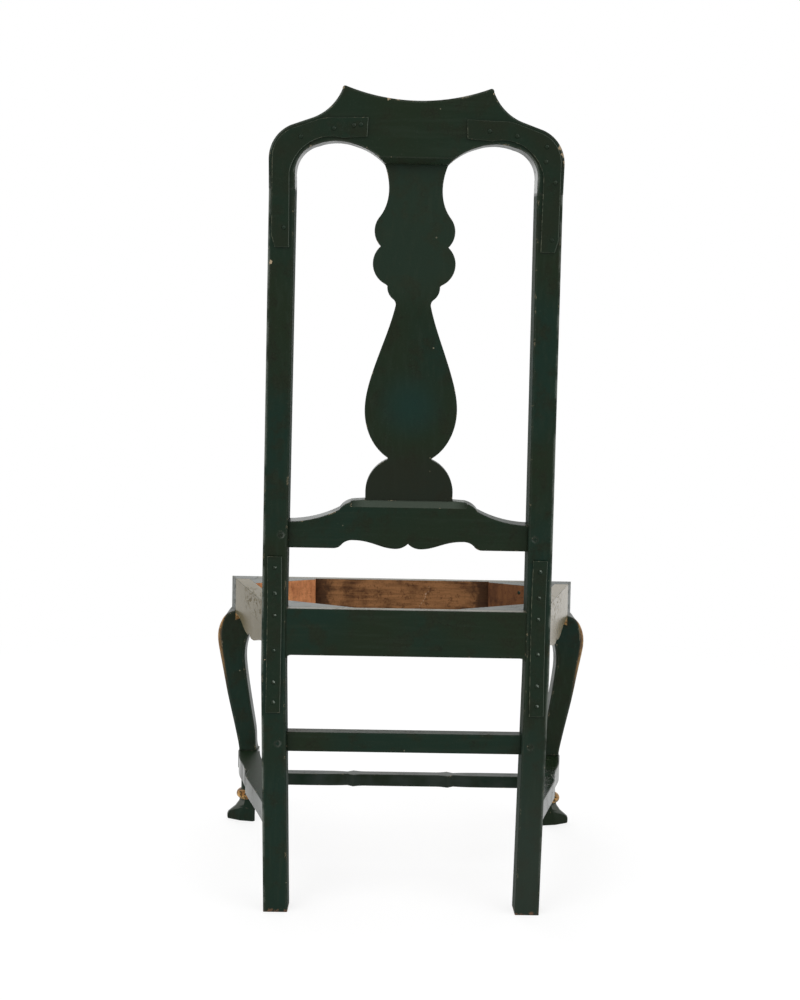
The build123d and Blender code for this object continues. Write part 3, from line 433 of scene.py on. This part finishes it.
for hand, sign, shift, foot_light_share in (
    ("left_", 1, (3.1, 0, 0), 0.05),
    ("right_", -1, (0, 5.3, 0), 0.45),
):
    finish = Finish(hand + "stile paint", upright, shift, radius=0.0055)
    tree = finish.tree
    finish.polish(finish.facing((-sign, 0, 0), 0.6), 0.72)
    finish.gilt_line(above=0.41)
    finish.wear_edges()
    # painted highlight along the outward-leaning back edge of the stile
    finish.paint_rim_highlight(finish.leaning((sign, 0, 0), 0.10, 0.42), 0.36, 0.60)
    height = split(tree, finish.place)["Z"]
    # painted light: the lower stile is tinted lighter and greyer towards the floor, more on the
    # right
    finish.tint(product(tree, step(tree, height, 0.32, 0.05), foot_light_share), foot_light_grey)
    # The foot's edges and sole are scuffed down to brown wood.
    low = add_shares(tree, finish.cloudy(150, roughness=0.65), (height, -14))
    sole = maths(tree, "MAXIMUM", finish.rub, step(tree, height, 0.006, 0.002))
    finish.coat(product(tree, step(tree, low, 0.46, 0.54), sole), sole_brown, roughness=0.7)
    finish.knock(*knocks[hand])
    dress(hand + "stile", finish.done())


# ------------------------------------------------------------------ cross rail, crest and splat
# The shaped cross rail holds the splat's foot in a groove, and the yoke crest, tenoned on the
# stiles, holds its head. All are beech, painted and varnished after the back was put together,
# with gilt leaves stencilled on their front faces.
tree, given, result = start_group(
    "Stencilled leaf",
    [
        ("Place", "Vector", (0, 0, 0)), ("Centre", "Vector", (0, 0, 0)), ("Angle", "Float", 0),
        ("Length", "Float", 0.012), ("Width", "Float", 0.004),
    ],
    [("Mask", "Float")],
)
away = vector_maths(tree, "SUBTRACT", given["Place"], given["Centre"])
inputs = {"Vector": away, "Angle": given["Angle"]}
parts = split(tree, add_node(tree, "VectorRotate", inputs, rotation_type="Z_AXIS").outputs[0])
along = maths(tree, "DIVIDE", parts["X"], given["Length"])
bulge = maths(tree, "SUBTRACT", 1, maths(tree, "MULTIPLY", along, along))
side = maths(tree, "ABSOLUTE", parts["Y"])
inside = add_shares(tree, maths(tree, "MULTIPLY", side, -1), (bulge, given["Width"]))
outline, open_vein = step(tree, inside, 0, 0.0004), step(tree, side, 0.0003, 0.0006)
end_group(tree, result, Mask=product(tree, outline, open_vein))


def stencil(finish, *leaves):
    """Gilt leaves on the front faces, the same on both sides of the middle.

    Each leaf has its distance across, its height, its turn in degrees and its half length.
    """
    tree = finish.tree
    parts = split(tree, finish.place)
    half = maths(tree, "ABSOLUTE", parts["X"])
    place = add_node(tree, "CombineXYZ", {"X": half, "Y": parts["Z"]}).outputs[0]
    total = None
    for across, up, turn, size in leaves:
        leaf = use_group(
            tree, "Stencilled leaf", Place=place, Centre=(across, up, 0),
            Angle=-math.radians(turn), Length=size, Width=0.30 * size,
        )["Mask"]
        total = leaf if total is None else maths(tree, "MAXIMUM", total, leaf)
    finish.gild(product(tree, total, finish.facing(to_front, 0.8)))


level = (4, 55, 55)
chamfer_up, chamfer_highlight_grey = (0, 0.17, 0.985), (0.062, 0.078, 0.060, 1)
vase_middle, vase_sheen_teal = (0, 0.2, 0.665), (0.0055, 0.0290, 0.0235, 1)
foot_brown, lobe_pale = (0.0130, 0.0150, 0.0085, 1), (0.0230, 0.0340, 0.0200, 1)
knocks = {
    "cross_rail": (((-0.1560, 0.1600, 0.5200), 0.0014), ((0.0210, 0.1640, 0.5060), 0.0010)),
    "crest_rail": (
        ((0.0355, 0.2617, 1.0371), 0.0024), ((0.0246, 0.2610, 1.0358), 0.0016),
        ((-0.1629, 0.2535, 0.9901), 0.0016), ((-0.1719, 0.2521, 0.9816), 0.0018),
        ((0.0900, 0.2630, 1.0480), 0.0012), ((-0.0912, 0.2630, 1.0440), 0.0012),
        ((-0.1745, 0.2524, 0.9850), 0.0024), ((-0.1790, 0.2510, 0.9760), 0.0030),
        ((-0.1812, 0.2492, 0.9670), 0.0022),
    ),
    "splat": (
        ((-0.0447, 0.1870, 0.6150), 0.0014), ((-0.0389, 0.1830, 0.5904), 0.0016),
        ((0.0374, 0.1840, 0.5980), 0.0012), ((-0.0425, 0.1830, 0.5960), 0.0010),
    ),
}
leaves = {
    "cross_rail": (
        (0.014, 0.512, 12, 0.011), (0.040, 0.508, -10, 0.012), (0.066, 0.503, -4, 0.011),
        (0.054, 0.514, 40, 0.008), (0.028, 0.518, 50, 0.008), (0.090, 0.502, 8, 0.010),
    ),
    "crest_rail": (
        (0, 1.008, 90, 0.016), (0.013, 1.000, 52, 0.014), (0.026, 0.990, 22, 0.014),
        (0.013, 0.979, -38, 0.011), (0.048, 0.995, 38, 0.010), (0.054, 0.984, -6, 0.013),
        (0.078, 0.986, 12, 0.010),
    ),
    "splat": (
        (0, 0.862, 90, 0.015), (0.012, 0.842, 55, 0.013), (0.014, 0.818, 48, 0.014),
        (0.016, 0.790, 42, 0.015), (0.013, 0.760, 48, 0.013), (0.009, 0.733, 55, 0.011),
        (0.008, 0.640, -50, 0.010), (0.010, 0.662, 50, 0.012), (0, 0.690, 90, 0.012),
    ),
}
for name, run, shift, blue, radius in (
    ("cross_rail", level, (1.7, 0, 2.0), 0.5, 0.003),
    ("crest_rail", level, (0, 2.6, 0.4), 0.3, 0.0055),
    ("splat", upright, (0.2, 7.7, 0), 0.55, 0.003),
):
    finish = Finish(name + " paint", run, shift, blue, radius=radius)
    tree = finish.tree
    parts = split(tree, finish.place)
    if name == "cross_rail":
        # painted highlight: the upward chamfer is lighter grey in the middle of the rail
        half = maths(tree, "ABSOLUTE", parts["X"])
        middle = product(tree, finish.facing(chamfer_up, 0.5), step(tree, half, 0.085, 0.055))
        finish.coat(product(tree, middle, 0.85), chamfer_highlight_grey, roughness=0.45)
    if name == "splat":
        away = vector_maths(tree, "DISTANCE", finish.place, vase_middle)
        # painted sheen: the teal glow on the belly of the vase, fading out from its middle
        for value, low, high, most, tone in (
            (away, 0.060, 0.015, 0.75, vase_sheen_teal),
            (parts["Z"], 0.630, 0.585, 0.75, foot_brown),
            (parts["Z"], 0.780, 0.830, 0.35, lobe_pale),
        ):
            finish.tint(product(tree, step(tree, value, low, high), most), tone)
    finish.gilt_line()
    stencil(finish, *leaves[name])
    finish.wear_edges()
    if name == "crest_rail":
        # painted highlight along the outer and upper edges of the crest's back
        sideways = maths(tree, "ABSOLUTE", split(tree, finish.normal)["X"])
        outward = maths(tree, "MAXIMUM", sideways, finish.leaning(to_top, 0.0, 1.0))
        finish.paint_rim_highlight(step(tree, outward, 0.16, 0.46), 0.42, 0.66)
    finish.knock(*knocks[name])
    dress(name, finish.done())


# ------------------------------------------------------------------ seat rails
# Four beech rails, tenoned into the stiles and legs and pegged. They are painted outside and
# on top and left bare inside, where the loose seat hides them. Dust lies in their varnish, and
# the front rail has a garland of gilt leaves.
pit_brown = (0.030, 0.014, 0.008, 1)
tree, given, result = start_group(
    "Bare wood",
    [
        ("Run", "Vector", (5, 60, 60)), ("Shift", "Vector", (0, 0, 0)),
        ("Light", "Color", (0.30, 0.13, 0.05, 1)), ("Dark", "Color", (0.06, 0.022, 0.010, 1)),
    ],
    [("Color", "Color"), ("Roughness", "Float"), ("Height", "Float")],
)
place = place_on(tree, given["Shift"])
run = vector_maths(tree, "MULTIPLY", place, given["Run"])
grain = noise(tree, run, scale=4, detail=6, roughness=0.62)
patch = noise(tree, place, scale=26, detail=5, roughness=0.65)
grit = noise(tree, place, scale=520, detail=4, roughness=0.6)
handling = noise(tree, place, scale=120, detail=5, roughness=0.68)
streaks, blotches = step(tree, grain, 0.38, 0.66), step(tree, patch, 0.44, 0.68)
shade = add_shares(tree, 0.05, (streaks, 0.45), (blotches, 0.50))
wood = mix_colour(tree, shade, given["Light"], given["Dark"])
scuffs = product(tree, step(tree, handling, 0.54, 0.66), 0.6)
wood = mix_colour(tree, scuffs, wood, given["Dark"])
pits = product(tree, step(tree, grit, 0.56, 0.70), 0.65)
wood = mix_colour(tree, pits, wood, pit_brown)
rough = add_shares(tree, 0.62, (patch, 0.2))
relief = add_shares(tree, product(tree, grit, 0.3), (grain, 0.6))
end_group(tree, result, Color=wood, Roughness=rough, Height=relief)


def lay_bare(finish, mask, run, shift, light, dark):
    """Leaves the wood bare on the faces that were never painted."""
    bare = use_group(finish.tree, "Bare wood", Run=run, Shift=shift, Light=light, Dark=dark)
    finish.coat(mask, bare["Color"], bare["Roughness"])
    finish.height = mix_number(finish.tree, mask, finish.height, bare["Height"])


def let_dust_settle(finish, weight):
    """A thin warm film of dust, which shows where a face is seen nearly edge on."""
    film = {"Sheen Weight": weight, "Sheen Roughness": 0.35, "Sheen Tint": (1.0, 0.82, 0.50, 1)}
    for label, value in film.items():
        finish.shader.inputs[label].default_value = value


# a painted shadow brown for the rail's ends by the corner blocks, and the tan of a scratch
block_shadow_brown, scratch_tan = (0.032, 0.015, 0.008, 1), (0.42, 0.27, 0.17, 1)
rails = {
    "front_seat_rail": (to_back, (0.33, 0.155, 0.062, 1), (0.050, 0.020, 0.009, 1)),
    "rear_seat_rail": (to_front, (0.20, 0.10, 0.05, 1), (0.06, 0.028, 0.014, 1)),
}
garland = (
    (0.014, 0.372, 14, 0.011), (0.042, 0.370, -12, 0.012), (0.070, 0.372, 14, 0.012),
    (0.098, 0.370, -12, 0.012), (0.126, 0.372, 14, 0.011), (0.028, 0.379, 48, 0.007),
    (0.056, 0.363, -48, 0.007), (0.084, 0.379, 48, 0.007), (0.112, 0.363, -48, 0.007),
)
for name, (inward, light, dark) in rails.items():
    shift = (len(name) * 0.37, 0, 0)
    finish = Finish(name + " paint", level, shift, wear=0.35)
    tree = finish.tree
    finish.wear_edges()
    inner = finish.facing(inward, 0.9)
    lay_bare(finish, inner, level, shift, light, dark)
    if name == "front_seat_rail":
        # Painted shadow: the ends are darkened beside the corner blocks, in their shade.
        parts = split(tree, finish.place)
        half = maths(tree, "ABSOLUTE", parts["X"])
        ragged = add_shares(tree, half, (finish.cloudy(70), 0.06))
        block_shadow = product(tree, step(tree, ragged, 0.138, 0.160), inner, 0.85)
        finish.coat(block_shadow, block_shadow_brown, roughness=0.7)
        # One long slanting scratch, broken in places.
        waver = finish.cloudy(160, detail=3, roughness=0.5)
        slant = add_shares(tree, parts["X"], (parts["Z"], 0.45), (waver, 0.009))
        aside = maths(tree, "ABSOLUTE", maths(tree, "ADD", slant, -0.1345))
        broken = step(tree, finish.cloudy(330, detail=3, roughness=0.5), 0.44, 0.54)
        scratch = product(
            tree, step(tree, aside, 0.0013, 0.0008), inner,
            step(tree, parts["Z"], 0.350, 0.356), step(tree, parts["Z"], 0.392, 0.386), broken,
        )
        finish.coat(scratch, scratch_tan, roughness=0.7)
        finish.gilt_line()
        stencil(finish, *garland)
    let_dust_settle(finish, 0.16)
    dress(name, finish.done())

fore_and_aft = (50, 5, 50)
film_olive, old_crack = (0.030, 0.028, 0.012, 1), (0.012, 0.011, 0.007, 1)
light, dark = (0.20, 0.10, 0.05, 1), (0.06, 0.03, 0.015, 1)
for hand, sign, gloss in (("left_", 1, 1.06), ("right_", -1, 1.2)):
    outward, inward = (0.968 * sign, 0.25, 0), (-0.968 * sign, -0.25, 0)
    shift = (4.8, 0, 1.9 * sign)
    finish = Finish(
        hand + "seat rail paint", fore_and_aft, shift, blue=0.2, wear=0.35, radius=0.0012,
        dull=0.06,
    )
    tree = finish.tree
    finish.cracks.default_value = 0
    upper = finish.facing(to_top, 0.9)
    film = maths(tree, "MAXIMUM", finish.facing(outward, 0.8), upper)
    uneven = add_shares(tree, 0.45, (finish.cloudy(45, detail=3, roughness=0.5), 0.5))
    finish.tint(product(tree, uneven, film), film_olive)
    if hand == "right_":
        finish.polish(upper, 0.24)
    parts = split(tree, finish.place)
    # Shrinkage cracks run along the upper half of the rail near the stile.
    inputs = {"Vector": finish.place, "Location": shift, "Scale": (60, 14, 60)}
    drawn_out = add_node(tree, "Mapping", inputs).outputs[0]
    wander = maths(tree, "SUBTRACT", noise(tree, drawn_out, scale=1.6, detail=3), 0.5)
    line = step(tree, maths(tree, "ABSOLUTE", wander), 0.022, 0.008)
    rear_end = step(tree, parts["Y"], -0.13, -0.03)
    cracked = product(tree, rear_end, film, step(tree, parts["Z"], 0.362, 0.385))
    finish.coat(product(tree, line, cracked), old_crack, roughness=0.8)
    finish.wear_edges()
    lay_bare(finish, finish.facing(inward, 0.9), fore_and_aft, shift, light, dark)
    let_dust_settle(finish, 0.30)
    dress(hand + "seat_rail", finish.done(gloss, strength=0.06))


# ------------------------------------------------------------------ corner blocks
# Pine blocks glued and nailed across the corners inside the frame, to hold it square. They are
# sawn, never planed or finished, and only their tops were painted over with the rails.
block_grain = (30, 30, 6)
blocks = {
    "left_front_corner_block": ((0.78, 0.33, 0.135, 1), (0.36, 0.12, 0.045, 1)),
    "right_front_corner_block": ((0.20, 0.080, 0.028, 1), (0.060, 0.022, 0.009, 1)),
    "left_rear_corner_block": ((0.30, 0.15, 0.07, 1), (0.10, 0.045, 0.02, 1)),
    "right_rear_corner_block": ((0.30, 0.15, 0.07, 1), (0.10, 0.045, 0.02, 1)),
}
for name, (light, dark) in blocks.items():
    finish = Finish(name + " wood", level, (len(name) * 0.21, 0.3, 0))
    bare = use_group(finish.tree, "Bare wood", Run=block_grain, Light=light, Dark=dark)
    finish.colour, finish.roughness, finish.height = (
        bare["Color"], bare["Roughness"], bare["Height"]
    )
    paint = use_group(finish.tree, "Old green paint", Run=level, Blue=0.1, Dull=0.3)
    finish.coat(finish.facing(to_top, 0.9), paint["Color"], paint["Roughness"])
    dress(name, finish.done(gloss=1.3, depth=0.0004, strength=0.5))


# ------------------------------------------------------------------ front legs and knee blocks
# Cabriole legs cut from the solid with the square post above, and small shaped blocks glued
# beside the knee. The knee's outer corner and the blocks' faces are gilded over brown size.
size_brown = (0.036, 0.020, 0.009, 1)
for hand, sign, shift in (("left_", 1, (0, 0.9, 3.3)), ("right_", -1, (2.2, 0.4, 0))):
    finish = Finish(hand + "front leg paint", upright, shift, radius=0.006)
    tree = finish.tree
    faces = split(tree, face_normal(tree))
    outward = maths(tree, "MULTIPLY", faces["X"], sign)
    uneven = maths(tree, "ABSOLUTE", maths(tree, "SUBTRACT", outward, faces["Y"]))
    diagonal = maths(tree, "SUBTRACT", 1, step(tree, uneven, 0.13, 0.26))
    corner = product(tree, diagonal, step(tree, outward, 0.3, 0.4))
    height = split(tree, finish.place)["Z"]
    band = product(tree, step(tree, height, 0.20, 0.31), corner, step(tree, height, 0.35, 0.345))
    finish.coat(product(tree, band, 0.7), size_brown, roughness=0.5)
    finish.gild(product(tree, band, finish.leaning((sign, 0, 0), 0.66, 0.74)))
    finish.wear_edges()
    dress(hand + "front_leg", finish.done())
    for block, outward in (
        ("side_knee_block", (0.97 * sign, 0.24, 0)),
        ("front_knee_block", to_front),
    ):
        finish = Finish(hand + block + " paint", upright, shift)
        outer, under = finish.facing(outward, 0.8), finish.facing((0, 0.2, -1), 0.3)
        finish.gild(maths(finish.tree, "MAXIMUM", outer, under))
        finish.wear_edges()
        dress(hand + block, finish.done())


# ------------------------------------------------------------------ stretchers
# Flat serpentine side stretchers of beech, tenoned into the stiles and held between leg and
# foot in front, with the cusped medial one between them and a plain bar behind. All are
# painted and varnished, and painted light lightens the medial one in cloudy patches.
medial_light_grey = (0.026, 0.036, 0.029, 1)
for name, run, shift, dull, strength, gloss in (
    ("left_side_stretcher", fore_and_aft, (0.7, 0, 0), 0.08, 0.2, 1.2),
    ("right_side_stretcher", fore_and_aft, (1.4, 0.2, 0), 0.08, 0.2, 1.3),
    ("medial_stretcher", level, (0, 0.8, 0), 0.2, 0.35, 1.2),
    ("rear_stretcher", level, (0, 3.4, 0), 0.2, 0.35, 1.2),
):
    finish = Finish(name + " paint", run, shift, blue=0.5, dull=dull)
    if name == "medial_stretcher":
        # painted light: the medial stretcher is lightened in cloudy patches
        medial_light_patches = finish.cloudy(30, detail=3, roughness=0.5)
        finish.tint(step(finish.tree, medial_light_patches, 0.30, 0.70), medial_light_grey)
    if name == "left_side_stretcher":
        finish.polish(finish.facing(to_top, 0.9), 0.48)
    finish.wear_edges()
    dress(name, finish.done(gloss, strength=strength))


# ------------------------------------------------------------------ front feet
# Separate beech feet, turned at the neck and ring and carved to a pointed toe below. Each is
# dowelled up through its stretcher, and the ring is gilded and rubbed.
ring_height, toe_highlight_grey = 0.0445, (0.120, 0.128, 0.112, 1)
for hand, sign, shift in (("left_", 1, (0.5, 0.1, 0)), ("right_", -1, (1.5, 2.1, 0))):
    finish = Finish(hand + "front foot paint", upright, shift, blue=0.4, wear=0.6)
    tree = finish.tree
    height = split(tree, finish.place)["Z"]
    from_ring = maths(tree, "ABSOLUTE", maths(tree, "SUBTRACT", height, ring_height))
    rubbed = step(tree, finish.cloudy(300, detail=3), 0.60, 0.50)
    finish.gild(product(tree, step(tree, from_ring, 0.0082, 0.0074), rubbed))
    finish.wear_edges()
    # painted highlight on the upper outer slope of the toe
    slope = finish.facing((0.76 * sign, 0.05, 0.65), 0.58)
    toe = product(tree, slope, step(tree, height, 0.037, 0.033), 0.7)
    finish.cover(toe, toe_highlight_grey, roughness=0.35)
    dress(hand + "front_foot", finish.done())


# ------------------------------------------------------------------ pegs
# Round oak pins, riven and driven through every tenon. They were cut off flush and painted
# over with the chair.
no_grain = (60, 60, 60)
finish = Finish("peg paint", no_grain, (4.2, 0, 0))
finish.wear_edges()
dress("joint_pegs", finish.done())


# ------------------------------------------------------------------ iron straps and nails
# Hand-forged iron straps nailed over the crest and seat joints in an old repair and painted to
# match. Their edges are rubbed bright, with a painted highlight along one side, and the nail
# heads show bare iron in worn spots laid on their lit side as a painted glint.
olive_iron, rubbed_iron, chipped_iron = (
    (0.0122, 0.0172, 0.0080, 1), (0.070, 0.084, 0.062, 1), (0.26, 0.23, 0.16, 1)
)
edge_highlight_green, chalky_edge = (0.120, 0.145, 0.115, 1), (0.150, 0.160, 0.110, 1)
for name, olive in (
    ("left_corner_strap", 0.7), ("right_corner_strap", 0.7),
    ("left_leg_strap", 0.3), ("right_leg_strap", 0.3),
):
    shift = (len(name) * 0.3, 0, 1.1)
    finish = Finish(name + " paint", no_grain, shift, blue=0.3, radius=0.0014, dull=0.15)
    tree = finish.tree
    browned = step(tree, finish.cloudy(16, detail=3, roughness=0.5), 0.36, 0.60)
    finish.tint(product(tree, browned, olive), olive_iron)
    finish.coat(finish.rub, rubbed_iron, roughness=0.35)
    finish.coat(finish.chip, chipped_iron, roughness=0.6)
    # painted highlight along the strap edges that lean towards -X
    edge_highlight = product(tree, finish.leaning((-1, 0, 0), 0.10, 0.35), 0.85)
    finish.coat(edge_highlight, edge_highlight_green, roughness=0.4)
    patchy = step(tree, finish.cloudy(160, detail=3), 0.46, 0.60)
    chalky = product(tree, patchy, finish.leaning((1, 0, 0), 0.10, 0.35))
    finish.coat(chalky, chalky_edge, roughness=0.4)
    dress(name, finish.done(depth=0.0005, strength=0.5))

glint_and_bare_iron, lit_side = (0.24, 0.28, 0.24, 1), (-0.6, 0, 0.55)
for name in ("strap_nails", "corner_block_nails"):
    finish = Finish(
        name + " paint", no_grain, (0.3, 0, 0.1), blue=0.3, wear=0.9, radius=0.0012, dull=0.1
    )
    tree = finish.tree
    # worn to bare iron, and also a painted glint: only on the side of the head that leans to the
    # light
    worn = step(tree, finish.cloudy(500, detail=3), 0.42, 0.60)
    spot = product(tree, worn, finish.leaning(lit_side, 0.02, 0.30))
    height = split(tree, finish.place)["Z"]
    kept = mix_number(tree, step(tree, height, 0.55, 0.65), 1.0, 0.15)
    finish.coat(product(tree, spot, kept), glint_and_bare_iron, roughness=0.3, metal=0.3)
    dress(name, finish.done(gloss=1.22))
